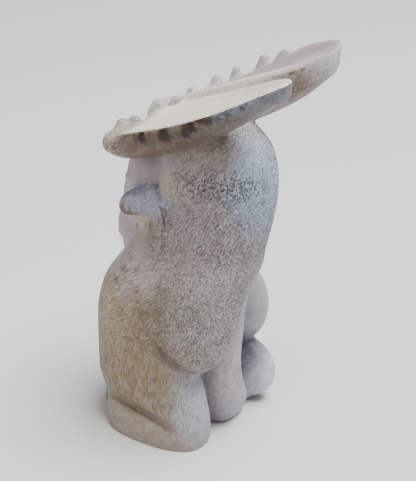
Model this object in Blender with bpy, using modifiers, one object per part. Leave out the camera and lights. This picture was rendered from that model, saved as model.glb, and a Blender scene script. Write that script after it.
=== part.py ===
"""A moose carved from one piece of antler.  It sits up on its haunches, tail on the ground,
muzzle hung down on its chest, and its two palms sweep back and up over the hump.
The animal faces -Y, its left side is +X, and it stands on z = 0."""
import math

import bmesh
import bpy
import numpy as np
from mathutils import Matrix, Vector

HEIGHT = 0.0925            # ground to the antler tips, metres
UNIT = HEIGHT / 100.0      # the figure's shapes below are hundredths of its height
GRAIN = 0.5                # size of the grid the shapes are fused on
FACETS = 9300              # triangles kept in the finished solid

# trunk, neck and hump as level sections: height, front y, back y, half width, squareness
TRUNK = (
    (-3.0, -13.4, 10.0, 16.4, 2.6),
    (6.0, -15.8, 10.2, 17.2, 2.7),
    (14.0, -19.0, 10.6, 17.9, 2.7),
    (19.0, -19.4, 11.0, 18.0, 2.6),
    (22.6, -19.6, 12.0, 18.2, 2.5),
    (27.0, -19.8, 12.8, 18.1, 2.45),
    (33.0, -19.6, 14.2, 17.9, 2.4),
    (39.0, -17.8, 17.8, 17.1, 2.4),
    (44.0, -14.3, 20.6, 15.9, 2.3),
    (48.0, -11.4, 21.4, 14.8, 2.25),
    (52.0, -8.4, 22.6, 13.0, 2.2),
    (58.0, -6.0, 24.2, 12.2, 2.15),
    (65.0, -4.6, 25.3, 11.8, 2.1),
    (71.0, -4.0, 25.2, 11.2, 2.1),
    (77.0, -3.4, 23.4, 9.8, 2.1),
    (84.0, 0.0, 15.6, 6.6, 2.0),
)

# hind leg and foot as level sections: height, front y, back y, inner x, outer x, squareness
LEG = (
    (-3.0, -13.0, 13.4, 3.6, 19.2, 2.5),
    (2.0, -13.6, 14.6, 4.2, 19.5, 2.5),
    (6.5, -13.4, 15.0, 5.6, 18.9, 2.5),
    (10.0, -13.2, 14.9, 6.8, 18.2, 2.5),
    (16.0, -12.0, 13.6, 7.0, 17.8, 2.5),
    (22.0, -11.0, 11.4, 7.0, 17.4, 2.3),
    (30.0, -8.0, 9.0, 7.0, 16.4, 2.2),
)
LEG_IN = (0.0, 3.0)        # how far the inside of the left and the right one stands off

# left haunch, the fuller side of the back down to its overhanging edge, in the same columns
HAUNCH = (
    (20.8, 3.4, 14.2, 7.0, 15.2, 2.0),
    (22.4, -0.8, 16.8, 4.4, 17.4, 2.1),
    (25.5, -4.2, 18.4, 1.2, 18.6, 2.2),
    (31.0, -6.4, 19.8, -2.0, 19.0, 2.2),
    (38.0, -6.8, 20.4, -5.0, 18.3, 2.1),
    (44.0, -5.4, 21.0, -7.0, 16.5, 2.05),
    (50.0, -3.0, 21.4, -7.0, 13.5, 2.0),
    (56.0, 0.0, 19.0, -5.0, 10.2, 2.0),
)

# rounded masses: centre, half sizes, lean about X in degrees, which sides have one
MASSES = (
    ((0.0, -4.4, 63.6), (8.4, 8.9, 12.2), 8.0, (1,)),        # head
    ((0.0, -7.2, 57.5), (6.9, 8.0, 10.5), 10.0, (1,)),       # face
    ((0.0, -10.7, 49.6), (6.3, 6.5, 8.0), 6.0, (1,)),        # muzzle
    ((5.8, -10.2, 65.0), (1.4, 1.6, 1.6), 0.0, (1, -1)),     # eye
    ((4.8, -15.2, 15.0), (4.0, 5.0, 24.0), 0.0, (1, -1)),    # foreleg
    ((4.9, -15.6, 1.0), (4.3, 4.3, 5.2), 0.0, (1, -1)),      # fore hoof
    ((13.3, 9.8, 8.6), (5.5, 10.2, 9.0), 0.0, (-1,)),        # right heel, fuller than the left
    ((13.0, 6.6, 28.2), (5.7, 11.1, 12.9), 0.0, (-1,)),      # right hip
)

# tail from the small of the back to the ground: height, front y, back y, half width, middle x
TAIL = (
    (-2.0, 5.0, 13.4, 5.5, -3.5),
    (3.0, 5.0, 16.0, 6.2, -3.0),
    (8.0, 5.0, 17.6, 5.8, -0.6),
    (14.0, 5.0, 17.4, 5.5, 1.4),
    (20.0, 5.0, 17.4, 5.0, 1.6),
    (27.0, 6.0, 17.8, 4.6, 1.2),
    (35.0, 8.0, 18.4, 4.2, 0.8),
    (42.0, 10.0, 20.0, 3.6, 0.2),
)

# palm of an antler: y, inner x, outer x, inner rim, outer rim, underside, depth of the dish
PALM = (
    (-12.0, 9.5, 13.0, 78.0, 77.8, 75.8, 0.0),
    (-11.0, 7.4, 15.6, 78.9, 78.5, 74.6, -0.4),
    (-8.5, 5.2, 17.4, 79.0, 79.4, 73.8, -0.5),
    (-6.6, 4.0, 18.2, 79.1, 80.2, 73.5, 0.1),
    (-4.6, 3.0, 18.8, 82.2, 81.7, 73.6, 1.6),
    (0.0, 1.6, 19.6, 84.3, 83.8, 74.8, 3.0),
    (8.0, 1.0, 20.2, 87.8, 86.8, 77.8, 3.6),
    (16.0, 2.2, 20.4, 91.3, 90.1, 82.0, 3.8),
    (24.0, 5.0, 20.0, 95.1, 94.0, 87.3, 3.6),
    (29.5, 7.6, 19.2, 97.8, 97.0, 91.3, 2.8),
    (33.5, 10.0, 18.0, 99.5, 99.2, 94.4, 1.6),
    (35.4, 11.8, 16.6, 100.0, 99.9, 95.8, 0.6),
    (36.0, 13.0, 15.4, 100.0, 100.0, 97.6, 0.0),
)
DISH = (0.45, 1.0)         # the left dish is shallower than the right one: shares of the depth above
# the right palm ends short of the left one and is twisted: y, rise of inner rim, outer rim, underside
RIGHT_REACH = 0.93
TWIST = (
    (-12.0, 0.0, -0.4, 0.0),
    (0.0, 1.2, -0.9, 0.0),
    (8.0, 1.1, 0.0, -1.2),
    (16.0, 0.5, 1.2, -2.8),
    (24.0, -0.7, 2.4, -3.9),
    (30.0, -1.8, 1.6, -4.0),
    (36.0, -1.2, 0.2, -2.6),
)
# the points of the right palm: tip, and half sizes
TINES = (
    ((10.4, -9.8, 79.6), (1.5, 1.8, 2.4)),
    ((17.9, -7.2, 81.2), (1.4, 1.8, 2.8)),
    ((19.4, -1.3, 84.6), (1.2, 1.6, 3.0)),
    ((19.9, 3.9, 87.4), (1.1, 1.4, 3.6)),
    ((20.1, 11.5, 91.4), (1.2, 1.9, 3.4)),
    ((19.7, 17.4, 94.3), (1.2, 3.3, 2.6)),
)
# brow points, on both palms
BROW = (((7.6, -10.6, 80.6), (1.7, 1.7, 2.8)), ((5.8, -8.8, 80.8), (1.6, 1.7, 2.6)))
EAR = ((6.0, 3.0, 63.4), (11.0, -9.8, 60.0))               # root, tip
EAR_SIZE = (4.3, 3.3, 2.6)                                 # half height at root, at tip, half thickness

# where two masses are worked into one: centre, reach
BLENDS = (
    ((18.0, -2.0, 34.0), 6.0),      # left haunch into the flank
    ((16.0, -2.0, 44.0), 6.0),
    ((11.0, 17.0, 49.0), 6.0),      # and up into the shoulder and the neck
    ((12.0, 8.0, 54.0), 8.0),
    ((5.0, 18.0, 55.0), 6.0),
    ((0.0, -14.0, 57.0), 6.0),      # brow, bridge of the nose and muzzle
    ((5.5, -10.0, 54.0), 4.0),
    ((-5.5, -10.0, 54.0), 4.0),
    ((-16.0, 5.0, 38.0), 5.0),      # right hip into the flank, the back and the leg
    ((-11.0, 14.0, 38.0), 4.0),
    ((-17.0, -3.0, 27.0), 5.0),
    ((-14.0, 8.0, 17.0), 3.0),
    ((9.0, -5.0, 72.0), 6.0),       # head into the neck, each side
    ((-9.0, -5.0, 72.0), 6.0),
)
BLEND_PASSES = 60


def ring(centre_y, half_x, half_y, z, power, count=48):
    """One level section, a circle drawn out square by its power."""
    points = []
    for step in range(count):
        turn = 2.0 * math.pi * step / count
        c, s = math.cos(turn), math.sin(turn)
        points.append((half_x * math.copysign(abs(c) ** (2.0 / power), c),
                       centre_y + half_y * math.copysign(abs(s) ** (2.0 / power), s), z))
    return points


def smooth_table(table, column, at):
    """A column of a table read at any place along its first column, without kinks."""
    places = np.array([row[0] for row in table], float)
    values = np.array([row[column] for row in table], float)
    slopes = np.gradient(values, places)
    i = int(np.clip(np.searchsorted(places, at) - 1, 0, len(places) - 2))
    span = places[i + 1] - places[i]
    t = float(np.clip((at - places[i]) / span, 0.0, 1.0))
    return float((2 * t ** 3 - 3 * t ** 2 + 1) * values[i] + (t ** 3 - 2 * t ** 2 + t) * span * slopes[i]
                 + (3 * t ** 2 - 2 * t ** 3) * values[i + 1] + (t ** 3 - t ** 2) * span * slopes[i + 1])


def skin(rings):
    """A closed tube through a run of sections."""
    form = bmesh.new()
    rows = [[form.verts.new(Vector(p) * UNIT) for p in points] for points in rings]
    for low, high in zip(rows, rows[1:]):
        for i in range(len(low)):
            j = (i + 1) % len(low)
            form.faces.new((low[i], low[j], high[j], high[i]))
    form.faces.new(rows[0])
    form.faces.new(rows[-1])
    bmesh.ops.recalc_face_normals(form, faces=form.faces)
    return finish(form)


def finish(form):
    mesh = bpy.data.meshes.new("form")
    form.to_mesh(mesh)
    form.free()
    return mesh


def trunk():
    levels = np.linspace(TRUNK[0][0], TRUNK[-1][0], 60)
    rings = []
    for z in levels:
        front, back, half, power = (smooth_table(TRUNK, c, z) for c in (1, 2, 3, 4))
        rings.append(ring((front + back) / 2, half, (back - front) / 2, z, power))
    return skin(rings)


def tail():
    rings = []
    for z in np.linspace(TAIL[0][0], TAIL[-1][0], 26):
        front, back, half, middle = (smooth_table(TAIL, c, z) for c in (1, 2, 3, 4))
        level = ring((front + back) / 2, half, (back - front) / 2, z, 2.6, 32)
        rings.append([(x + middle, y, h) for x, y, h in level])
    return skin(rings)


def limb(table, side, inset=0.0):
    """A limb between its inner and its outer face."""
    rings = []
    for z in np.linspace(table[0][0], table[-1][0], 40):
        front, back, inner, outer, power = (smooth_table(table, c, z) for c in (1, 2, 3, 4, 5))
        inner += inset
        level = ring((front + back) / 2, (outer - inner) / 2, (back - front) / 2, z, power)
        rings.append([((x + (inner + outer) / 2) * side, y, h) for x, y, h in level])
    return skin(rings)


def mass(centre, half, lean, side=1.0):
    form = bmesh.new()
    place = (Matrix.Translation(Vector((centre[0] * side, centre[1], centre[2])) * UNIT)
             @ Matrix.Rotation(math.radians(lean), 4, "X")
             @ Matrix.Diagonal(Vector((*half, 1.0 / UNIT)) * UNIT))
    bmesh.ops.create_uvsphere(form, u_segments=40, v_segments=24, radius=1.0, matrix=place)
    return finish(form)


def palm(side, reach, dish_share, twist):
    """A canoe of antler: a rounded hull under a shallow dish with a thick lip."""
    rings = []
    for y in np.linspace(PALM[0][0], PALM[-1][0], 121):
        inner, outer, rim_in, rim_out, under, dish = (smooth_table(PALM, c, y) for c in range(1, 7))
        rim_in, rim_out, under = (value + twist * smooth_table(TWIST, c, y)
                                  for c, value in ((1, rim_in), (2, rim_out), (3, under)))
        dish *= dish_share
        middle, half = (inner + outer) / 2, (outer - inner) / 2
        section = []
        for step in range(28):
            turn = math.pi * (step + 0.5) / 28
            across = math.copysign(abs(math.cos(turn)) ** 0.75, math.cos(turn))
            rim = rim_in + (rim_out - rim_in) * (1 + across) / 2 - 0.9
            section.append((side * (middle + half * across), y * (reach if y > 0.0 else 1.0),
                            rim - (rim - under) * math.sin(turn) ** 0.85))
        for step in range(28):
            across = -0.97 + 1.94 * step / 27
            rim = rim_in + (rim_out - rim_in) * (1 + across) / 2
            lip = float(np.clip((abs(across) - 0.6) / 0.26, 0.0, 1.0))
            lip = lip * lip * (3 - 2 * lip)
            section.append((side * (middle + half * across), y * (reach if y > 0.0 else 1.0),
                            rim - dish * (1 - lip) - 0.9 * max(abs(across) - 0.86, 0.0) / 0.11))
        rings.append(section)
    return skin(rings)


def point(tip, half, side, lean):
    """A short cone of antler with a blunt end, given by its tip."""
    rings = []
    for t in np.linspace(0.0, 1.0, 16):
        drop, swell = 2.0 * half[2] * t, 1.3 * (0.03 + 0.97 * t) ** 0.5
        middle = tip[1] + math.tan(math.radians(lean)) * drop
        level = ring(middle, half[0] * swell, half[1] * swell, tip[2] - drop, 2.0, 24)
        rings.append([(x + tip[0] * side, y, z) for x, y, z in level])
    return skin(rings)


def ear(side):
    """A leaf with a blunt end, standing forward and out from the cheek."""
    root, tip = (Vector(end) for end in EAR)
    tall_root, tall_tip, thick = EAR_SIZE
    rings = []
    for t in np.linspace(0.0, 1.0, 32):
        swell = max(1.0 - abs(2.0 * (t - 0.5)) ** 6, 0.02) ** 0.5
        tall = tall_root + (tall_tip - tall_root) * t
        at = root.lerp(tip, t)
        rings.append([((at.x + thick * swell * math.cos(a)) * side, at.y, at.z + tall * swell * math.sin(a))
                      for a in (2 * math.pi * i / 24 for i in range(24))])
    return skin(rings)


def fused(name, meshes, collection):
    """All the shapes grown into one skin on the grid."""
    form = bmesh.new()
    for mesh in meshes:
        form.from_mesh(mesh)
        bpy.data.meshes.remove(mesh)
    whole = bpy.data.objects.new(name, finish(form))
    collection.objects.link(whole)
    grid = whole.modifiers.new("grid", "REMESH")
    grid.mode = "VOXEL"
    grid.voxel_size = GRAIN * UNIT
    soft = whole.modifiers.new("soft", "SMOOTH")
    soft.factor, soft.iterations = 0.5, 5
    return whole


def baked(thing):
    """The object with its modifiers made real."""
    depsgraph = bpy.context.evaluated_depsgraph_get()
    mesh = bpy.data.meshes.new_from_object(thing.evaluated_get(depsgraph))
    thing.modifiers.clear()
    old, thing.data = thing.data, mesh
    bpy.data.meshes.remove(old)


def coordinates(mesh, field):
    values = np.empty(len(mesh.vertices) * 3)
    mesh.vertices.foreach_get(field, values)
    return values.reshape(-1, 3)


def settle(thing):
    """The origin brought under the middle of the piece."""
    places = coordinates(thing.data, "co")
    middle = (places.min(axis=0) + places.max(axis=0)) / 2
    places[:, :2] -= middle[:2]
    thing.data.vertices.foreach_set("co", places.ravel())
    thing.data.update()


# knife cuts: path, half width, depth, sides it is on, length over which it starts from nothing
CUTS = (
    # under edge of the back, from the flank round the hip to the tail
    (((18.4, 2.6, 30.0), (18.3, 5.2, 27.0), (17.7, 9.4, 24.0), (15.8, 13.0, 22.2), (13.0, 15.6, 22.4),
      (10.4, 16.4, 23.4), (7.6, 17.0, 25.2), (5.4, 17.6, 28.4), (4.0, 18.2, 31.6)), 1.8, 1.2, (1,), 12.0),
    # right side of the back down to the root of the tail
    (((-6.0, 19.0, 42.0), (-4.4, 16.8, 36.0), (-4.4, 15.4, 28.0), (-4.0, 14.6, 20.0)), 1.6, 1.0, (1,), 8.0),
    # top of the hind foot
    (((16.4, -14.0, 9.4), (17.2, -8.4, 9.4), (17.6, -4.4, 8.7), (17.9, 0.1, 7.9), (18.3, 4.2, 7.0),
      (18.3, 7.9, 5.7)), 1.5, 1.2, (1, -1), 3.0),
    # mouth, across the end of the muzzle
    (((5.9, -12.4, 47.2), (3.6, -15.9, 46.2), (0.0, -17.4, 45.8)), 0.7, 0.9, (1, -1), 1.5),
    # nostril
    (((2.4, -17.4, 51.4), (3.3, -16.6, 49.8)), 0.8, 1.0, (1, -1), 0.5),
    # between the forelegs, and down the outside of each
    (((0.0, -19.9, 36.0), (0.0, -19.8, 20.0), (0.0, -17.5, 5.0), (0.0, -15.0, 0.0)), 1.3, 2.0, (1, -1), 6.0),
    (((9.9, -18.4, 37.0), (9.7, -18.8, 20.0), (9.3, -16.5, 7.0), (9.2, -13.6, 0.0)), 1.2, 1.6, (1, -1), 6.0),
    # cloven hooves
    (((4.9, -19.9, 5.0), (4.9, -19.9, 0.0)), 0.6, 0.9, (1, -1), 1.0),
    (((13.0, -13.4, 6.5), (13.0, -13.4, 0.0)), 0.7, 1.0, (1, -1), 1.0),
)


def blend(thing):
    """The seams between masses rubbed down, strongest at the middle of each blend."""
    places = coordinates(thing.data, "co") / UNIT
    weight = np.zeros(len(places))
    for centre, reach in BLENDS:
        far = np.linalg.norm(places - np.array(centre), axis=1) / reach
        weight = np.maximum(weight, np.clip(1.6 * np.exp(-far ** 2), 0.0, 1.0))
    group = thing.vertex_groups.new(name="blend")
    for index in np.flatnonzero(weight > 0.02):
        group.add([int(index)], float(weight[index]), "REPLACE")
    rub = thing.modifiers.new("rub", "SMOOTH")
    rub.factor, rub.iterations, rub.vertex_group = 0.5, BLEND_PASSES, "blend"
    baked(thing)


def carve(thing):
    """The cuts drawn into the skin, each as deep as its own knife."""
    mesh = thing.data
    places, normals = coordinates(mesh, "co"), coordinates(mesh, "normal")
    sink = np.zeros(len(places))
    for path, wide, deep, sides, start in CUTS:
        for side in sides:
            at = places / UNIT * (side, 1.0, 1.0)
            run = 0.0
            for a, b in zip(np.array(path[:-1]), np.array(path[1:])):
                length = np.linalg.norm(b - a)
                t = np.clip(((at - a) @ (b - a)) / length ** 2, 0.0, 1.0)
                near = np.linalg.norm(at - a - t[:, None] * (b - a), axis=1)
                ease = np.clip((run + t * length) / start, 0.0, 1.0)
                sink = np.maximum(sink, deep * ease * np.exp(-(near / wide) ** 2))
                run += length
    places -= normals * (sink * UNIT)[:, None]
    mesh.vertices.foreach_set("co", places.ravel())
    mesh.update()


def antler_material():
    stuff = bpy.data.materials.new("antler")
    stuff.use_nodes = True
    shader = stuff.node_tree.nodes["Principled BSDF"]
    shader.inputs["Base Color"].default_value = (0.52, 0.45, 0.38, 1.0)
    shader.inputs["Roughness"].default_value = 0.45
    return stuff


def moose(collection, cutters):
    shapes = [trunk(), tail(), palm(1.0, 1.0, DISH[0], 0.0), palm(-1.0, RIGHT_REACH, DISH[1], 1.0)]
    shapes += [limb(LEG, 1.0, LEG_IN[0]), limb(LEG, -1.0, LEG_IN[1]), limb(HAUNCH, 1.0)]
    shapes += [ear(1.0), ear(-1.0)]
    for centre, half, lean, sides in MASSES:
        for side in sides:
            shapes.append(mass(centre, half, lean, side))
    shapes += [point(tip, half, -1.0, 0.0) for tip, half in TINES]
    shapes += [point(tip, half, side, -12.0) for tip, half in BROW for side in (1.0, -1.0)]
    whole = fused("moose", shapes, collection)
    baked(whole)
    blend(whole)
    carve(whole)
    thin = whole.modifiers.new("facets", "DECIMATE")
    thin.ratio = min(1.0, FACETS / (2.0 * len(whole.data.polygons)))
    thin.use_collapse_triangulate = True
    baked(whole)

    form = bmesh.new()
    bmesh.ops.create_cube(form, size=1.0, matrix=Matrix.Translation((0, 0, -0.25 * HEIGHT))
                          @ Matrix.Diagonal((HEIGHT, HEIGHT, 0.5 * HEIGHT, 1.0)))
    ground = bpy.data.objects.new("ground", finish(form))
    ground.hide_render, ground.display_type = True, "WIRE"
    cutters.objects.link(ground)
    flat = whole.modifiers.new("flat", "BOOLEAN")
    flat.object, flat.operation, flat.solver = ground, "DIFFERENCE", "EXACT"
    baked(whole)
    settle(whole)
    whole.data.materials.append(antler_material())
    return whole


def main():
    for thing in list(bpy.data.objects):
        bpy.data.objects.remove(thing)
    parts = bpy.data.collections.new("moose carving")
    cutters = bpy.data.collections.new("cutters")
    for collection in (parts, cutters):
        bpy.context.scene.collection.children.link(collection)
    moose(parts, cutters)


main()
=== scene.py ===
import math

import bmesh
import bpy
import numpy as np
from mathutils import Matrix, Vector


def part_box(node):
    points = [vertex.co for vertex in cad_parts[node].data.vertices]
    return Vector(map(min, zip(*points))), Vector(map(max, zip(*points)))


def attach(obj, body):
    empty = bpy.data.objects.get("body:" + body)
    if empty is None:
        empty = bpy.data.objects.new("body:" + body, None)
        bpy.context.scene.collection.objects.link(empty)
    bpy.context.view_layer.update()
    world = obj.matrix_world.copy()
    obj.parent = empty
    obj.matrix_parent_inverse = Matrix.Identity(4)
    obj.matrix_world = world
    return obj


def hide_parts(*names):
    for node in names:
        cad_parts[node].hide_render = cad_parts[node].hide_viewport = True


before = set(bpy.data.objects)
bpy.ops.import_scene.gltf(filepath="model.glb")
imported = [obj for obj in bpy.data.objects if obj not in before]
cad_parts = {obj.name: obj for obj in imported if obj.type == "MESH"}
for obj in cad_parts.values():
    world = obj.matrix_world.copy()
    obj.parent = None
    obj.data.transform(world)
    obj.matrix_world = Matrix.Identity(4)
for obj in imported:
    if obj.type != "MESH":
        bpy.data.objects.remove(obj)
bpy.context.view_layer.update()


# The carving: one piece of antler, sawn flat underneath, rasped to shape and rubbed down by hand.
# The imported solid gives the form.  Its facets are rubbed out here, the points of the palms are
# sharpened again, and folds and cracks are cut with a finer knife.
low, high = (Vector(corner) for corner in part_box("moose"))
HUNDREDTH = (high.z - low.z) / 100      # places below are hundredths of the height, from the foot
MIDDLE = 0.62                           # the animal's middle plane stands this far off the box's
WELD = 1e-6                             # metres within which the corners of facets are one
HALVINGS = 2                            # times that each facet is halved to round it
WORKING_GRAIN = 0.00026                 # metres between points of the worked surface
RUBBING, RUBBING_PASSES = 0.5, 5

FRESH_POINTS = (                 # tip, half width across, along and half height
    # along the outer rim of the right palm, front to back
    ((-9.8, -17.7, 79.4), (1.9, 2.2, 2.0)),
    ((-17.3, -15.1, 80.6), (1.7, 2.2, 2.4)),
    ((-18.8, -9.2, 84.3), (1.5, 1.9, 2.2)),
    ((-19.3, -4.0, 87.3), (1.3, 1.6, 2.4)),
    ((-19.5, 3.6, 91.5), (1.4, 2.1, 2.4)),
    # brow points of both palms
    ((8.2, -18.5, 80.1), (2.1, 2.1, 1.8)),
    ((6.4, -16.3, 80.7), (1.9, 2.1, 1.9)),
    ((-7.0, -18.5, 80.1), (2.1, 2.1, 1.8)),
    ((-5.2, -16.3, 80.7), (1.9, 2.1, 1.9)),
)
POINT_CONES = (                  # in half sizes: radius at foot and top, height, middle below tip
    (1.45, 0.5, 2.0, 1.0),       # the point itself
    (0.5, 1.45, 1.2, 2.6),       # one upside down under it, by which it runs out into the wall
)
CONE_SIDES = 32

HAUNCH_FOLD = ((19.5, -5.4, 33.0), (19.4, -3.4, 29.0), (18.9, 0.6, 25.6), (17.5, 3.0, 23.4),
               (15.6, 5.4, 22.4), (13.4, 7.6, 23.0), (11.0, 8.6, 24.4))
FINE_CUTS = (                    # path, half width, depth, share of its length to fade in, painted shade and grime
    # fold under the left haunch, darkened as painted shade, and a broad band of painted shade along
    # it
    (HAUNCH_FOLD, 1.0, 1.1, 0.3, 0.9),
    (HAUNCH_FOLD, 2.4, 0.0, 0.4, 0.75),
    # top of the left hind foot, its crease darkened as painted shade
    (((17.2, -21.0, 9.5), (17.9, -16.3, 9.4), (18.3, -12.3, 8.7), (18.6, -7.8, 7.9),
      (18.9, -3.7, 7.0), (18.9, 0.0, 5.8)), 1.0, 0.9, 0.2, 0.7),
    # root of the left ear, its crease darkened as painted shade
    (((8.6, -9.6, 67.0), (9.6, -8.3, 65.9), (10.3, -7.5, 64.1), (10.5, -7.0, 62.0)),
     0.5, 0.5, 0.2, 0.5),
    # drying cracks behind the left ear
    (((10.6, -6.9, 61.7), (11.3, -6.2, 60.4), (11.3, -5.8, 59.3), (12.0, -5.0, 57.6),
      (11.8, -5.4, 56.2)), 0.3, 0.7, 0.05, 1.0),
    (((11.2, -5.5, 61.8), (11.8, -4.8, 60.6), (11.7, -5.3, 59.6)), 0.27, 0.6, 0.05, 1.0),
    # three short nicks on the left cheek
    (((6.8, -16.2, 53.6), (6.8, -16.3, 51.8)), 0.25, 0.4, 0.1, 0.7),
    (((7.7, -13.1, 54.8), (8.4, -12.6, 53.8)), 0.22, 0.4, 0.1, 0.5),
    (((9.3, -10.7, 56.3), (9.9, -10.4, 55.0)), 0.25, 0.4, 0.1, 0.6),
)
FACE_CUTS = (                    # the same, but with x from the middle plane and on both sides
    # mouth, nostril, and the upper and lower lid of the eye, darkened as painted shade
    (((6.4, -19.9, 47.6), (4.4, -23.2, 46.3), (2.2, -25.0, 45.8), (0.0, -25.6, 45.6)),
     0.45, 0.8, 0.1, 0.9),
    (((2.2, -25.5, 51.6), (3.3, -24.6, 50.0), (3.6, -24.2, 49.2)), 0.6, 1.1, 0.05, 1.0),
    (((3.7, -20.1, 64.5), (4.2, -19.9, 65.6), (5.2, -19.3, 66.1), (6.3, -18.4, 65.6)),
     0.3, 0.35, 0.1, 0.9),
    (((3.7, -20.1, 64.5), (4.4, -19.8, 63.6), (5.4, -19.1, 63.3), (6.3, -18.3, 63.7)),
     0.3, 0.3, 0.1, 0.8),
)
CUT_START = -0.02                # share of a path's length at which a cut begins to sink
SHADE_AND_GRIME_END = (0.7, 1.02)          # shares of it between which the painted shade and grime run out
SHADE_AND_GRIME_SPREAD = 1.2               # half width of the painted shade and grime against that of its cut


def coordinates(mesh, field="co"):
    """The places of a mesh's points, or their normals, one row each."""
    values = np.empty(len(mesh.vertices) * 3)
    mesh.vertices.foreach_get(field, values)
    return values.reshape(-1, 3)


def in_hundredths(mesh):
    """The places of a mesh's points in hundredths of the height, from the foot."""
    return (coordinates(mesh) - (0.0, 0.0, low.z)) / HUNDREDTH


def step(values, low_end, high_end):
    """From 0 to 1 between two values, with soft ends."""
    share = np.clip((values - low_end) / (high_end - low_end), 0.0, 1.0)
    return share * share * (3 - 2 * share)


def from_path(spots, path):
    """How far each spot is from a path, and what share of the path's length it has passed."""
    path = np.array(path)
    lengths = np.linalg.norm(np.diff(path, axis=0), axis=1)
    nearest, passed, run = np.full(len(spots), np.inf), np.zeros(len(spots)), 0.0
    for start, end, length in zip(path[:-1], path[1:], lengths):
        share = np.clip((spots - start) @ (end - start) / length ** 2, 0.0, 1.0)
        gap = np.linalg.norm(spots - start - share[:, None] * (end - start), axis=1)
        closer = gap < nearest
        nearest[closer] = gap[closer]
        passed[closer] = (run + share * length)[closer] / lengths.sum()
        run += length
    return nearest, passed


def worked(thing):
    """The object's mesh as its modifiers leave it, with the modifiers gone."""
    depsgraph = bpy.context.evaluated_depsgraph_get()
    mesh = bpy.data.meshes.new_from_object(thing.evaluated_get(depsgraph))
    thing.modifiers.clear()
    thing.data = mesh
    return mesh


def keep(mesh, name, values):
    """A value for each point, stored on the mesh for the strokes and the finish."""
    kind, field = ("FLOAT", "value") if values.ndim == 1 else ("FLOAT_VECTOR", "vector")
    mesh.attributes.new(name, kind, "POINT").data.foreach_set(field, values.ravel())


blank = bmesh.new()
blank.from_mesh(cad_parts["moose"].data)
bmesh.ops.remove_doubles(blank, verts=blank.verts, dist=WELD)
mesh = bpy.data.meshes.new("moose_carving")
blank.to_mesh(mesh)
blank.free()
moose = bpy.data.objects.new("moose_carving", mesh)
bpy.context.scene.collection.objects.link(moose)
rounding = moose.modifiers.new("rounding", "SUBSURF")
rounding.levels = rounding.render_levels = HALVINGS
mesh = worked(moose)

body = bmesh.new()
for tip, half_sizes in FRESH_POINTS:
    for foot_radius, top_radius, tall, below in POINT_CONES:
        middle = Vector(tip) - Vector((0, 0, below * half_sizes[2]))
        bmesh.ops.create_cone(
            body, cap_ends=True, segments=CONE_SIDES,
            radius1=foot_radius, radius2=top_radius, depth=tall,
            matrix=Matrix.Translation(middle * HUNDREDTH + Vector((0, 0, low.z)))
            @ Matrix.Diagonal((*(size * HUNDREDTH for size in half_sizes), 1.0)))
body.from_mesh(mesh)
body.to_mesh(mesh)
body.free()
grid = moose.modifiers.new("grid", "REMESH")
grid.mode, grid.voxel_size = "VOXEL", WORKING_GRAIN
rubbing = moose.modifiers.new("rubbing", "SMOOTH")
rubbing.factor, rubbing.iterations = RUBBING, RUBBING_PASSES
mesh = worked(moose)

spots = in_hundredths(mesh)
# each cut sinks the skin and darkens it with painted shade and grime, kept for the finish
depth, shade_and_grime = np.zeros(len(spots)), np.zeros(len(spots))
mirrored = tuple((tuple((MIDDLE + side * x, y, z) for x, y, z in path), *knife)
                 for path, *knife in FACE_CUTS for side in (1, -1))
for path, half_width, deep, fade, shade_and_dirt in FINE_CUTS + mirrored:
    gap, passed = from_path(spots, path)
    start = step(passed, CUT_START, fade)
    depth = np.maximum(depth, deep * start * np.exp(-(gap / half_width) ** 2))
    shade_and_grime = np.maximum(shade_and_grime, shade_and_dirt * start * (1 - step(passed, *SHADE_AND_GRIME_END))
                       * np.exp(-(gap / (half_width * SHADE_AND_GRIME_SPREAD)) ** 2))
mesh.vertices.foreach_set("co", (coordinates(mesh) - coordinates(mesh, "normal")
                                 * depth[:, None] * HUNDREDTH).ravel())
mesh.update()
keep(mesh, "shade_and_grime", shade_and_grime)


# The coat: thousands of short knife strokes, laid the way the hair would lie, nearly level on the
# shoulder, steeper on the back and haunch, upright on the leg.  Face, ears, tail, feet, heels and
# palms have none.  Each stroke is a line on the skin that sinks what lies near it.
STROKES_PER_M2 = 0.9e6
STROKE_LENGTH = 0.0017
STROKE_WIDTH = 0.00024
STROKE_DEPTH = 0.00013
STROKE_REACH = (0.4, 1.5)        # shortest and longest, in stroke lengths
STROKE_SWING = 0.4               # radians that a stroke may turn either way
STROKE_SEED, SWING_SEED, REACH_SEED = 11, 3, 5
MOST_TRIANGLES = 192000

# lay of the strokes: degrees from level on the leg, how much less on back and shoulder, the
# heights between which leg turns into back, and the shoulder's middle and reach in z and in y
LEG_SLOPE, BACK_EASE, SHOULDER_EASE = 86.0, 30.0, 24.0
BACK_START = (20.0, 36.0)
SHOULDER_HEIGHT, SHOULDER_DEPTH = (41.0, 8.0), (-16.0, 9.0)

# edges between the coat and the smooth parts: lines, and pairs of values between which a part
# fades in or out
BACK_EDGE = ((22.0, 14.0), (24.0, 12.0), (27.0, 9.6), (33.0, 7.6), (38.0, 3.4), (44.0, -2.0),
             (50.0, -14.0))      # of the back, above the tail: height, x
UNDERSIDE = ((-12.5, 73.2), (-7.9, 74.4), (0.0, 77.6), (8.0, 81.8), (16.0, 86.8),
             (21.5, 91.0))       # of the palms: y, height
FOOT_TOP = ((-16.3, 9.6), (-12.3, 9.0), (-7.8, 8.1), (-3.7, 7.2), (0.0, 5.9))      # y, height
FACE_BOTTOM, FACE_BACK, FACE_LEAN, EYE_HEIGHT = (46.5, 51.5), (-11.0, -5.0), 0.35, 60.0
CHEST_BACK, CHEST_SIDE = (-20.0, -15.5), (9.0, 14.0)
TAIL_SIDE, TAIL_FRONT, TAIL_TOP = (-3.5, 2.0), (4.0, 7.0), (44.0, 52.0)
HEEL_FRONT, HEEL_LEAN, HEEL_SIDE, HEEL_TOP = (2.0, 13.0), 0.8, 18.0, (19.5, 22.0)
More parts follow.
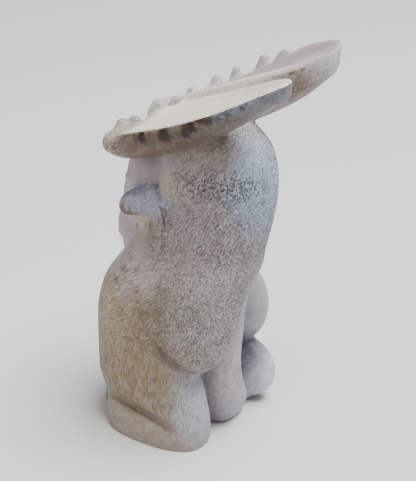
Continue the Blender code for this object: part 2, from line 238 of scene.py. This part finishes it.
RIGHT_SIDE, RIGHT_FRONT, RIGHT_TOP = (5.0, 8.0), (-8.0, -4.0), (34.0, 42.0)
FOOT_EDGE, PALM_EDGE = (-0.6, 1.0), (-1.6, -0.1)            # off the lines above
SOLE_FACING = (-0.9, -0.6)       # upward part of the normal, where the skin turns to the sawn sole


def bare_places(spots):
    """1 on the parts that are left smooth under the palms."""
    x, y, z = spots.T
    face = step(z, *FACE_BOTTOM) * (1 - step(y + FACE_LEAN * (EYE_HEIGHT - z), *FACE_BACK))
    chest = (1 - step(y, *CHEST_BACK)) * (1 - step(abs(x - MIDDLE), *CHEST_SIDE)) * (1 - face)
    back_edge = np.interp(z, *zip(*BACK_EDGE))
    tail = (1 - step(x - back_edge, *TAIL_SIDE)) * step(y, *TAIL_FRONT) * (1 - step(z, *TAIL_TOP))
    heel = step(y + HEEL_LEAN * (HEEL_SIDE - x), *HEEL_FRONT) * (1 - step(z, *HEEL_TOP))
    right_rear = step(-x, *RIGHT_SIDE) * step(y, *RIGHT_FRONT) * (1 - step(z, *RIGHT_TOP))
    foot = 1 - step(z - np.interp(y, *zip(*FOOT_TOP)), *FOOT_EDGE)
    covered = np.ones(len(spots))
    for share in (face, chest, tail, heel, right_rear, foot):
        covered *= 1 - share
    return 1 - covered


def palm_share(spots):
    """1 on the palms, 0 below them."""
    x, y, z = spots.T
    underside = np.interp(y, *zip(*UNDERSIDE))
    return step(z, underside + PALM_EDGE[0], underside + PALM_EDGE[1])


def hair_lay(spots, facing):
    """The direction of the strokes along the skin."""
    x, y, z = spots.T
    shoulder = np.exp(-((z - SHOULDER_HEIGHT[0]) / SHOULDER_HEIGHT[1]) ** 2
                      - ((y - SHOULDER_DEPTH[0]) / SHOULDER_DEPTH[1]) ** 2)
    slope = np.radians(LEG_SLOPE - BACK_EASE * step(z, *BACK_START) - SHOULDER_EASE * shoulder)
    lay = np.stack((np.zeros(len(spots)), np.cos(slope), np.sin(slope)), axis=1)
    lay -= facing * (lay * facing).sum(axis=1)[:, None]
    return lay / np.maximum(np.linalg.norm(lay, axis=1), 1e-6)[:, None]


class Bench:
    """A node tree, and the way nodes are put in it."""

    def __init__(self, tree):
        self.tree = tree

    def node(self, kind, settings=None, out=0, **values):
        """A node: its settings first, then what its sockets hold or are fed by."""
        node = self.tree.nodes.new(kind)
        for name, setting in (settings or {}).items():
            setattr(node, name, setting)
        for name, value in values.items():
            socket = next(s for s in node.inputs
                          if s.identifier == name
                          or (s.enabled and s.name.replace(" ", "") == name))
            if isinstance(value, Value):
                self.tree.links.new(value.socket, socket)
            else:
                socket.default_value = value
        return Value(self, node.outputs[out]) if node.outputs else node


class Value:
    """What a node gives, so that sums with it read as plain expressions."""

    def __init__(self, bench, socket):
        self.bench, self.socket = bench, socket

    def other(self, name):
        """Another thing that the same node gives."""
        return Value(self.bench, self.socket.node.outputs[name])

    def sum(self, operation, first, second):
        return self.bench.node("ShaderNodeMath", {"operation": operation},
                               Value=first, Value_001=second)

    def __add__(self, other):
        return self.sum("ADD", self, other)

    def __sub__(self, other):
        return self.sum("SUBTRACT", self, other)

    def __mul__(self, other):
        return self.sum("MULTIPLY", self, other)

    def __rsub__(self, other):
        return self.sum("SUBTRACT", other, self)

    __radd__, __rmul__ = __add__, __mul__


facing = coordinates(mesh, "normal")
spots = in_hundredths(mesh)
palms = palm_share(spots)
keep(mesh, "palm", palms)
keep(mesh, "coat", (1 - palms) * (1 - bare_places(spots)) * step(facing[:, 2], *SOLE_FACING))
keep(mesh, "lay", hair_lay(spots, facing))

knife = bpy.data.node_groups.new("knife strokes", "GeometryNodeTree")
stroke_sizes = {"Strokes per m2": STROKES_PER_M2, "Length": STROKE_LENGTH,
                "Width": STROKE_WIDTH, "Depth": STROKE_DEPTH}
knife.interface.new_socket("Skin", in_out="INPUT", socket_type="NodeSocketGeometry")
knife_inputs = {name: knife.interface.new_socket(name, in_out="INPUT",
                                                 socket_type="NodeSocketFloat")
                for name in stroke_sizes}
knife.interface.new_socket("Carved", in_out="OUTPUT", socket_type="NodeSocketGeometry")
bench = Bench(knife)
skin = bench.node("NodeGroupInput", out="Skin")
coat = bench.node("GeometryNodeInputNamedAttribute", {"data_type": "FLOAT"}, Name="coat")
lay = bench.node("GeometryNodeInputNamedAttribute", {"data_type": "FLOAT_VECTOR"}, Name="lay")

# where each stroke lies, which way it runs and how long it is
points = bench.node("GeometryNodeDistributePointsOnFaces", Mesh=skin, Seed=STROKE_SEED,
                    Density=coat * skin.other("Strokes per m2"))
swing = bench.node("FunctionNodeRandomValue", {"data_type": "FLOAT"}, out=1,
                   Min_001=-STROKE_SWING, Max_001=STROKE_SWING, Seed=SWING_SEED)
heading = bench.node("ShaderNodeVectorRotate", Vector=lay, Axis=points.other("Normal"),
                     Angle=swing)
reach = bench.node("FunctionNodeRandomValue", {"data_type": "FLOAT"}, out=1,
                   Min_001=STROKE_REACH[0], Max_001=STROKE_REACH[1], Seed=REACH_SEED)
line = bench.node("GeometryNodeMeshLine", Count=2, StartLocation=(-0.5, 0, 0), Offset=(1, 0, 0))
turn = bench.node("FunctionNodeAlignRotationToVector", {"axis": "X"}, Vector=heading)
strokes = bench.node("GeometryNodeInstanceOnPoints", Points=points, Instance=line,
                     Rotation=turn, Scale=reach * skin.other("Length"))

# the skin sinks near them
gap = bench.node("GeometryNodeProximity", {"target_element": "EDGES"}, out="Distance",
                 Target=bench.node("GeometryNodeRealizeInstances", Geometry=strokes))
groove = coat * bench.node("ShaderNodeMapRange", {"interpolation_type": "SMOOTHSTEP"}, Value=gap,
                           FromMin=0.0, FromMax=skin.other("Width"), ToMin=1.0, ToMax=0.0)
marked = bench.node("GeometryNodeStoreNamedAttribute", {"data_type": "FLOAT", "domain": "POINT"},
                    Geometry=skin, Name="stroke", Value=groove)
sink = bench.node("ShaderNodeVectorMath", {"operation": "SCALE"},
                  Vector=bench.node("GeometryNodeInputNormal"),
                  Scale=groove * skin.other("Depth") * -1.0)
carved = bench.node("GeometryNodeSetPosition", Geometry=marked, Offset=sink)
antler = bpy.data.materials.new("antler")
bench.node("NodeGroupOutput", Carved=bench.node(
    "GeometryNodeSetMaterial", Material=antler,
    Geometry=bench.node("GeometryNodeRealizeInstances", Geometry=carved)))

carving = moose.modifiers.new("coat", "NODES")
carving.node_group = knife
for name, size in stroke_sizes.items():
    carving[knife_inputs[name].identifier] = size
mesh = worked(moose)
thinning = moose.modifiers.new("thinning", "DECIMATE")
thinning.ratio = min(1.0, MOST_TRIANGLES / (2.0 * len(mesh.polygons)))     # two to a square
thinning.use_collapse_triangulate = True
mesh = worked(moose)
mesh.shade_smooth()
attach(moose, "root")
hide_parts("moose")


# The finish of the antler: greyish lavender and beige, rubbed to a dull shine on the smooth parts,
# ochre low on the flanks, bluish white over hump and heels that is partly painted sheen and
# highlight, painted shade in the strokes, painted shade and grime in the cuts and cracks, painted
# shade under the palms' walls, dark weathered spots under the rim of the left palm and a whitish
# dish, partly painted light where it faces up.
LAVENDER = (0.265, 0.213, 0.223, 1.0)
ROSE = (0.470, 0.385, 0.378, 1.0)
BLUSH = (0.530, 0.440, 0.430, 1.0)
# next, a warm peach laid on the cheek as painted light
PEACH_LIGHT = (0.450, 0.330, 0.260, 1.0)
FAWN = (0.400, 0.335, 0.260, 1.0)
STRAW = (0.450, 0.350, 0.220, 1.0)
DUN = (0.360, 0.290, 0.230, 1.0)
BEIGE = (0.262, 0.192, 0.102, 1.0)
OCHRE = (0.240, 0.172, 0.080, 1.0)
KHAKI = (0.290, 0.248, 0.208, 1.0)
WALNUT = (0.160, 0.118, 0.084, 1.0)
BROWN = (0.150, 0.100, 0.068, 1.0)
CHESTNUT = (0.120, 0.072, 0.044, 1.0)
TAUPE = (0.250, 0.235, 0.240, 1.0)
PEARL = (0.360, 0.350, 0.385, 1.0)
MIST = (0.420, 0.425, 0.480, 1.0)
SILVER = (0.460, 0.470, 0.530, 1.0)
# next, a whitish for the right heel, partly painted highlight
FROST_HIGHLIGHT = (0.660, 0.700, 0.800, 1.0)
# next, a bluish white for the hump's right side, partly painted sheen
ICE_SHEEN = (0.300, 0.390, 0.530, 1.0)
STEEL = (0.255, 0.290, 0.410, 1.0)
# next, a dark slate laid in the hollow over the right heel as painted shade
HOLLOW_SHADE = (0.065, 0.070, 0.090, 1.0)
EAR_PALE, EAR_DARK = (0.55, 0.56, 0.60, 1.0), (0.12, 0.12, 0.15, 1.0)
# flecks in the coat, on the back and low on the flank, and the painted shade and grime of the cuts
BACK_DARK, FLANK_DARK = (0.012, 0.012, 0.016, 1.0), (0.085, 0.056, 0.026, 1.0)
BACK_PALE, FLANK_PALE = (0.50, 0.47, 0.44, 1.0), (0.40, 0.328, 0.205, 1.0)
SHADE_AND_GRIME = (0.105, 0.068, 0.052, 1.0)
# palms: their brown and their grey wall, each with painted shade for its underside, the far wall,
# paler in front partly as painted light, the knobs in front, the dishes and the spots
HORN_DARK, HORN_LIGHT, HORN_UNDER_SHADE = ((0.090, 0.060, 0.040, 1.0), (0.210, 0.155, 0.112, 1.0),
                                     (0.085, 0.056, 0.040, 1.0))
GREY_DARK, GREY_LIGHT, GREY_UNDER_SHADE = ((0.060, 0.059, 0.068, 1.0), (0.165, 0.172, 0.200, 1.0),
                                     (0.118, 0.092, 0.080, 1.0))
GREY_END = (0.175, 0.180, 0.200, 1.0)
FAR_FRONT_TONE_AND_LIGHT, FAR_BACK = (0.78, 0.75, 0.72, 1.0), (0.49, 0.48, 0.49, 1.0)
FAR_STAIN, FAR_STREAK = (0.18, 0.122, 0.086, 1.0), (0.36, 0.34, 0.34, 1.0)
KNOB, KNOB_DARK, KNOB_PALE = ((0.37, 0.32, 0.28, 1.0), (0.15, 0.105, 0.07, 1.0),
                              (0.55, 0.49, 0.42, 1.0))
CHALK = (0.700, 0.644, 0.550, 1.0)
FAR_DISH_INNER, FAR_DISH_OUTER = (0.60, 0.54, 0.475, 1.0), (0.45, 0.375, 0.385, 1.0)
DISH_MOTTLE = (0.36, 0.27, 0.19, 1.0)
SPOT_SHADE = (0.075, 0.052, 0.038, 1.0)
RUST = (0.045, 0.018, 0.011, 1.0)
SOOT = (0.016, 0.009, 0.004, 1.0)

DARK_GREYS, PALE_GREYS = (0.46, 0.38), (0.54, 0.63)     # of the strands that make flecks
# the strokes are darkened as painted shade, the cuts as painted shade and grime
STROKE_SHADE, STROKE_SHARE, SHADE_AND_GRIME_SHARE = 0.4, 0.35, 0.8
SMOOTH_ROUGHNESS, COAT_ROUGHER, UNEVENNESS = 0.44, 0.16, 0.16
SPECULAR = 0.3
PORES = 0.3                      # height of the pores against that of the strands
RELIEF_STRENGTH, RELIEF_HEIGHT = 0.7, 0.00022           # the height in metres

# places and sizes are hundredths here too, and shares run from 0 to 1
antler.use_nodes = True
finish = Bench(antler.node_tree)
shader = antler.node_tree.nodes["Principled BSDF"]
place = finish.node("ShaderNodeTexCoord", out="Object")
spot = finish.node("ShaderNodeVectorMath", {"operation": "SCALE"}, Vector=place,
                   Scale=1 / HUNDREDTH)
x = finish.node("ShaderNodeSeparateXYZ", Vector=spot)
y, z = x.other("Y"), x.other("Z")
up = finish.node("ShaderNodeSeparateXYZ", out="Z",
                 Vector=finish.node("ShaderNodeNewGeometry", out="Normal"))


def stored(name):
    """A value that was kept on the mesh."""
    return finish.node("ShaderNodeAttribute", {"attribute_name": name}, out="Fac")


def between(value, low_end, high_end, low_value=0.0, high_value=1.0):
    """Softly from one value to another as the first runs between two ends."""
    return finish.node("ShaderNodeMapRange", {"interpolation_type": "SMOOTHSTEP"}, Value=value,
                       FromMin=low_end, FromMax=high_end, ToMin=low_value, ToMax=high_value)


def cloud(size, detail=3.0, roughness=0.55, at=(0.0, 0.0, 0.0)):
    """Uneven grey, with lumps of the given size in hundredths."""
    moved = finish.node("ShaderNodeMapping", {"vector_type": "TEXTURE"}, Vector=spot,
                        Location=at, Scale=(size, size, size))
    return finish.node("ShaderNodeTexNoise", Vector=moved, Scale=1.0, Detail=detail,
                       Roughness=roughness)


def hairs(slope, across, along):
    """Uneven streaks that rise backwards along the flank at a slope in degrees."""
    turned = finish.node("ShaderNodeMapping", {"vector_type": "TEXTURE"}, Vector=spot,
                         Rotation=(math.radians(slope - 90.0), 0.0, 0.0),
                         Scale=(across, across, along))
    return finish.node("ShaderNodeTexNoise", Vector=turned, Scale=1.0, Detail=2.0, Roughness=0.6)


def patch(centre, radii, edge, ragged, lump):
    """1 inside a ragged patch about a spot, 0 outside."""
    off = finish.node("ShaderNodeVectorMath", {"operation": "SUBTRACT"}, Vector=spot,
                      Vector_001=centre)
    size = finish.node("ShaderNodeVectorMath", {"operation": "DIVIDE"}, Vector=off,
                       Vector_001=radii)
    away = finish.node("ShaderNodeVectorMath", {"operation": "LENGTH"}, out="Value", Vector=size)
    wobble = (cloud(lump, 2.0, at=centre) - 0.5) * ragged * 2.0
    return between(away + wobble, 1.0 - edge, 1.0 + edge, 1.0, 0.0)


def times(colour, amount):
    """A colour made paler or darker."""
    return finish.node("ShaderNodeVectorMath", {"operation": "SCALE"}, Vector=colour,
                       Scale=amount)


def mix(share, first, second):
    """A share of the second colour over the first."""
    return finish.node("ShaderNodeMix", {"data_type": "RGBA"}, out=2,
                       Factor_Float=share, A_Color=first, B_Color=second)


def mottled(ground, tone, size, ends, share, detail=3.0, at=(0.0, 0.0, 0.0)):
    """A colour with lumps of another tone, which show as the cloud runs between two greys."""
    return mix(between(cloud(size, detail, at=at), *ends) * share, ground, tone)


coat, palm, stroke, shade_and_grime = (stored(name) for name in ("coat", "palm", "stroke", "shade_and_grime"))

# the dishes, where the palms look up behind their knobs, the right one's steeper sides included
DISH_FACING, RIGHT_DISH_EASE = (0.45, 0.6), 0.35
looking_up = between(up + between(x, 3.0, -3.0) * RIGHT_DISH_EASE, *DISH_FACING)
dish = palm * looking_up * between(y, -15.0, -8.0)

# uneven strands along the coat, flat on the shoulder, upright on the leg, short on the back
shoulder = patch((18.0, -15.0, 41.0), (9.0, 9.0, 9.0), 0.5, 0.2, 4.0)
leg_share = between(z, 28.0, 18.0)
strands = (hairs(36.0, 0.34, 2.4) * shoulder + hairs(87.0, 0.34, 2.2) * leg_share
           + hairs(60.0, 0.33, 0.8) * (1.0 - shoulder - leg_share))

ZONES = (                        # centre, radii, edge, raggedness, lump, share, colour
    # flanks, then the haunch and the rear of the back, and the hump, bluish white on its right
    # side, partly painted sheen
    ((17.0, -10.0, 24.0), (16.0, 16.0, 24.0), 0.8, 0.3, 7.0, 0.9, BEIGE),
    ((-16.0, -10.0, 24.0), (16.0, 16.0, 24.0), 0.5, 0.3, 7.0, 0.7, BEIGE),
    ((18.0, -12.0, 24.0), (10.0, 12.0, 18.0), 0.8, 0.4, 5.0, 0.25, OCHRE),
    ((-17.0, -14.0, 30.0), (9.0, 9.0, 12.0), 0.7, 0.5, 5.0, 0.4, OCHRE),
    ((18.8, -1.0, 38.0), (9.0, 8.5, 10.0), 0.9, 0.4, 4.0, 0.75, WALNUT),
    ((15.0, 8.0, 36.0), (9.0, 9.0, 15.0), 0.6, 0.4, 4.0, 0.6, TAUPE),
    ((9.0, 5.0, 78.0), (9.0, 11.0, 5.0), 0.6, 0.5, 4.0, 0.7, KHAKI),
    ((3.0, 17.0, 69.0), (9.0, 9.0, 11.5), 0.6, 0.5, 4.0, 0.85, ICE_SHEEN),
    # right hip, left heel and tail in bluish greys, partly painted reflection of cool light, then
    # shoulder, front of the flank, brow
    ((-10.0, 8.0, 14.0), (14.0, 14.0, 32.0), 0.4, 0.2, 5.0, 0.8, MIST),
    ((10.0, 11.0, 9.0), (12.0, 11.0, 16.0), 0.4, 0.3, 5.0, 0.9, PEARL),
    ((14.0, -14.5, 46.0), (10.0, 9.0, 6.5), 0.7, 0.3, 4.0, 0.85, BLUSH),
    ((17.0, -20.0, 36.0), (5.0, 5.0, 14.0), 0.7, 0.4, 4.0, 0.5, STRAW),
    ((7.0, -18.0, 67.0), (4.0, 5.0, 8.0), 0.6, 0.4, 3.0, 0.6, ROSE),
    # painted shade in the hollow over the right heel, the heel itself whitish and partly painted
    # highlight, beside the tail, left leg and foot
    ((-9.0, 6.0, 15.5), (5.0, 5.5, 5.0), 0.6, 0.3, 4.0, 0.9, HOLLOW_SHADE),
    ((-12.0, 12.0, 8.0), (6.0, 5.0, 6.0), 0.6, 0.3, 4.0, 0.7, FROST_HIGHLIGHT),
    ((6.0, 9.0, 15.0), (5.0, 5.0, 7.0), 0.7, 0.4, 3.0, 0.4, ROSE),
    ((15.5, 4.5, 14.0), (4.0, 5.0, 9.0), 0.6, 0.5, 2.0, 0.6, SILVER),
    ((18.0, -8.0, 4.0), (8.0, 16.0, 5.0), 0.4, 0.8, 2.0, 0.3, DUN),
    # behind the left ear's root, the ear and its tip, a patch of painted light on the cheek,
    # painted shade under the ear, a painted highlight on the ear's ridge, the cracks
    ((10.8, -4.6, 67.0), (3.4, 3.6, 3.4), 0.5, 0.8, 1.5, 0.7, FAWN),
    ((10.0, -11.0, 61.8), (4.4, 7.6, 4.2), 0.4, 0.4, 2.5, 0.75, STEEL),
    ((12.6, -16.8, 59.0), (3.6, 3.4, 2.8), 0.5, 0.8, 1.2, 0.9, CHESTNUT),
    ((7.8, -13.3, 53.3), (3.4, 3.0, 3.0), 0.35, 0.5, 1.6, 0.8, PEACH_LIGHT),
    ((10.2, -9.2, 54.6), (2.2, 2.4, 3.6), 0.5, 0.6, 2.0, 0.5, BROWN),
    ((11.6, -14.8, 62.4), (3.0, 2.6, 1.4), 0.7, 0.8, 1.0, 0.7, PEARL),
    ((11.4, -4.4, 58.6), (2.0, 2.2, 4.0), 0.6, 0.8, 1.2, 0.45, BROWN),
    # muzzle and the middle of the back
    ((6.0, -20.0, 52.0), (4.0, 5.0, 7.0), 0.6, 0.4, 3.0, 0.6, ROSE),
    ((13.0, 2.0, 48.0), (8.0, 12.0, 4.0), 0.6, 0.4, 4.0, 0.4, ROSE),
)
colour = LAVENDER
for centre, radii, edge, ragged, lump, share, tone in ZONES:
    colour = mix(patch(centre, radii, edge, ragged, lump) * share, colour, tone)
colour = mottled(colour, PEARL, 2.6, (0.42, 0.62), 0.25, detail=4.0)
colour = mottled(colour, BROWN, 3.4, (0.5, 0.66), 0.25, detail=4.0, at=(9.0, 4.0, 2.0))
ear = patch((10.0, -11.0, 61.8), (4.4, 8.0, 4.4), 0.3, 0.1, 1.5)
colour = mottled(colour, EAR_PALE, 0.8, (0.54, 0.62), ear * 0.5)
colour = mottled(colour, EAR_DARK, 0.9, (0.54, 0.64), ear * 0.5, at=(3.0, 3.0, 1.0))

# the walls of the palms: brown in front, and at the back of the left one slate grey, each with
# painted shade where it faces down
wall = mottled(HORN_DARK, HORN_LIGHT, 2.4, (0.42, 0.58), 1.0, detail=4.0)
wall = mix(between(up, 0.4, -0.3) * 0.7, wall, HORN_UNDER_SHADE)
grey = mottled(GREY_DARK, GREY_LIGHT, 2.6, (0.42, 0.58), 1.0, detail=4.0, at=(5.0, 1.0, 3.0))
grey = mix(between(up, 0.1, -0.5) * 0.75, grey, GREY_UNDER_SHADE)
left = between(x, 0.0, 8.0)
wall = mix(left * between(y + (cloud(5.0) - 0.5) * 14.0, 7.0, 16.0), wall, grey)
wall = mix(left * between(y, 20.0, 25.0) * 0.6, wall, GREY_END)

# the right one's is pale, paler in front partly as painted light on its shaded side, with a brown
# stain at its back and faint streaks
far_wall = mix(between(y, 12.0, 20.0), FAR_FRONT_TONE_AND_LIGHT, FAR_BACK)
far_wall = mix(patch((-7.5, 17.5, 89.0), (7.0, 7.5, 5.5), 0.7, 0.3, 3.0), far_wall, FAR_STAIN)
far_wall = mix(between(hairs(89.0, 0.7, 4.0), 0.5, 0.62) * 0.3, far_wall, FAR_STREAK)
wall = mix(between(x, 2.0, -1.0) * between(up, -0.9, -0.4), wall, far_wall)

# shade round the weathered spots, the knobs in front, the left one speckled, and fine mottling
wall = mix(patch((20.0, 8.0, 86.0), (5.0, 8.0, 5.0), 0.6, 0.4, 3.0) * 0.5, wall, SPOT_SHADE)
knob = between(y, -9.0, -15.0)
wall = mix(knob * between(up, -0.4, 0.5) * 0.75, wall, KNOB)
speckled = knob * between(x, 12.0, 16.0)
wall = mottled(wall, KNOB_DARK, 0.6, (0.50, 0.56), speckled * 0.6)
wall = mottled(wall, KNOB_PALE, 0.6, (0.52, 0.58), speckled * 0.5, at=(4.0, 2.0, 0.0))
wall = mottled(wall, times(wall, 1.5), 0.55, (0.48, 0.60), 0.45, at=(2.0, 2.0, 9.0))
wall = mottled(wall, times(wall, 0.5), 0.75, (0.50, 0.60), 0.55, at=(1.0, 7.0, 3.0))

# the dishes: whitish, partly their own tone and partly painted light where they face up
far_dish = mix(between(x, -4.0, -8.0), FAR_DISH_INNER, FAR_DISH_OUTER)
dish_colour = mix(between(x, 1.0, -1.0), CHALK, far_dish)
dish_colour = mottled(dish_colour, mix(0.5, dish_colour, DISH_MOTTLE), 1.8, (0.48, 0.62), 0.3,
                      detail=4.0, at=(2.0, 5.0, 1.0))
colour = mix(palm, colour, mix(dish, wall, dish_colour))

# flecks between the strokes: fewer behind the ear, on the leg and on top of the hump, warmer low
# on the flank, darkest in a band across the hump
near_ear = patch((10.5, -6.0, 66.0), (7.0, 8.0, 11.0), 0.6, 0.3, 3.0)
hump_top = patch((9.0, 4.0, 77.5), (9.0, 11.0, 4.5), 0.6, 0.4, 3.0)
low_flank = patch((18.0, -9.0, 26.0), (12.0, 13.0, 24.0), 0.8, 0.3, 4.0)
band = patch((10.0, 9.5, 70.0), (7.0, 8.5, 3.3), 0.6, 0.5, 3.0)
depth_of_coat = (coat * between(cloud(7.0, at=(3.0, 3.0, 0.0)), 0.25, 0.6, 0.65, 1.0)
                 * (1.0 - near_ear * 0.35) * (1.0 - leg_share * 0.3) * (1.0 - hump_top * 0.5))
dark_fleck = mix(0.5, times(colour, 0.35), mix(low_flank, BACK_DARK, FLANK_DARK))
pale_fleck = mix(0.5, times(colour, 1.7), mix(low_flank, BACK_PALE, FLANK_PALE))
dark_share = (between(strands - band * 0.06, *DARK_GREYS)
              * (0.8 + band * 0.2 - low_flank * 0.1))
pale_share = between(strands, *PALE_GREYS) * (1.0 - low_flank * 0.3)
colour = mix(depth_of_coat * dark_share, colour, dark_fleck)
colour = mix(depth_of_coat * pale_share, colour, pale_fleck)

# faint streaks and mottling on the smooth parts below
faint = (1.0 - coat) * (1.0 - palm) * leg_share
colour = mix(faint * between(hairs(89.0, 0.8, 6.0), 0.52, 0.66) * 0.22, colour, BROWN)
colour = mottled(colour, times(colour, 0.7), 1.6, (0.52, 0.62), faint * 0.4, detail=4.0,
                 at=(1.0, 5.0, 2.0))
colour = mottled(colour, times(colour, 1.35), 1.3, (0.52, 0.62), faint * 0.4, detail=4.0,
                 at=(6.0, 2.0, 2.0))

# painted shade in the strokes, painted shade and grime in the cuts, and the spots on the walls of
# the palms
colour = mix(stroke * STROKE_SHARE, colour, times(colour, STROKE_SHADE))
colour = mix(shade_and_grime * SHADE_AND_GRIME_SHARE, colour, SHADE_AND_GRIME)
WEATHERED_SPOTS = (              # centre, radii, colour
    ((20.2, -5.0, 82.6), (2.0, 1.1, 1.4), SOOT),
    ((20.6, 1.0, 84.4), (2.0, 1.7, 1.6), SOOT),
    ((20.7, 6.4, 86.2), (2.0, 1.1, 1.5), SOOT),
    ((20.7, 8.0, 87.8), (2.0, 1.3, 1.2), SOOT),
    ((20.8, 10.6, 90.0), (2.0, 2.6, 0.8), RUST),
    ((-6.1, 17.7, 94.0), (1.5, 0.6, 0.9), BROWN),
    ((-7.4, 19.7, 95.0), (1.5, 0.6, 0.9), BROWN),
)
SPOT_EDGE, SPOT_RAGGEDNESS, SPOT_LUMP = 0.4, 0.6, 0.8
for centre, radii, tone in WEATHERED_SPOTS:
    weathered = patch(centre, radii, SPOT_EDGE, SPOT_RAGGEDNESS, SPOT_LUMP)
    colour = mix(weathered * (1.0 - dish), colour, tone)

rough = SMOOTH_ROUGHNESS + coat * COAT_ROUGHER + (cloud(2.5) - 0.5) * UNEVENNESS
relief = strands * coat + cloud(0.5, roughness=0.6) * PORES
bump = finish.node("ShaderNodeBump", Strength=RELIEF_STRENGTH, Distance=RELIEF_HEIGHT,
                   Height=relief)
shader.inputs["Specular IOR Level"].default_value = SPECULAR
antler.node_tree.links.new(colour.socket, shader.inputs["Base Color"])
antler.node_tree.links.new(rough.socket, shader.inputs["Roughness"])
antler.node_tree.links.new(bump.socket, shader.inputs["Normal"])


# What it stands on: plain and pale.
FLOOR_HALF = 2.0
PAINT, PAINT_ROUGHNESS = (0.72, 0.71, 0.69, 1.0), 0.8
floor_mesh = bpy.data.meshes.new("pale_floor")
floor_mesh.from_pydata([(sx * FLOOR_HALF, sy * FLOOR_HALF, low.z) for sx, sy in
                        ((-1, -1), (1, -1), (1, 1), (-1, 1))], [], [(0, 1, 2, 3)])
floor = bpy.data.objects.new("pale_floor", floor_mesh)
bpy.context.scene.collection.objects.link(floor)
paint = bpy.data.materials.new("pale paint")
paint.use_nodes = True
coating = paint.node_tree.nodes["Principled BSDF"].inputs
coating["Base Color"].default_value = PAINT
coating["Roughness"].default_value = PAINT_ROUGHNESS
floor_mesh.materials.append(paint)


# Light: a broad soft lamp above and behind the animal, a weaker one from its left, and an even
# pale room.
LAMPS = (                        # place, size in metres, watts, colour
    ((-0.05, 0.22, 0.85), 0.55, 17.0, (0.96, 0.98, 1.0)),
    ((0.80, -0.25, 0.40), 0.60, 2.5, (1.0, 0.96, 0.90)),
)
LIT_SPOT = Vector((0.0, 0.0, 0.045))
ROOM_TINT, ROOM_STRENGTH = (0.94, 0.96, 1.0, 1.0), 0.30
for at, size, watts, tint in LAMPS:
    lamp = bpy.data.lights.new("soft lamp", "AREA")
    lamp.shape, lamp.size, lamp.energy, lamp.color = "DISK", size, watts, tint
    stand = bpy.data.objects.new("soft lamp", lamp)
    stand.location = at
    stand.rotation_euler = (LIT_SPOT - Vector(at)).to_track_quat("-Z", "Y").to_euler()
    bpy.context.scene.collection.objects.link(stand)
room = bpy.data.worlds.new("pale room")
room.use_nodes = True
backdrop = room.node_tree.nodes["Background"].inputs
backdrop["Color"].default_value = ROOM_TINT
backdrop["Strength"].default_value = ROOM_STRENGTH
bpy.context.scene.world = room


# Camera: above and behind the animal's left side, as the photograph was taken.
LENS = 94.9                      # millimetres
EYE = (0.21559, 0.12920, 0.17419)
SIGHT = Vector((-0.7637, -0.4589, -0.4540))
camera = bpy.data.cameras.new("view")
camera.lens = LENS
viewpoint = bpy.data.objects.new("view", camera)
viewpoint.location = EYE
viewpoint.rotation_euler = SIGHT.to_track_quat("-Z", "Y").to_euler()
bpy.context.scene.collection.objects.link(viewpoint)
bpy.context.scene.camera = viewpoint
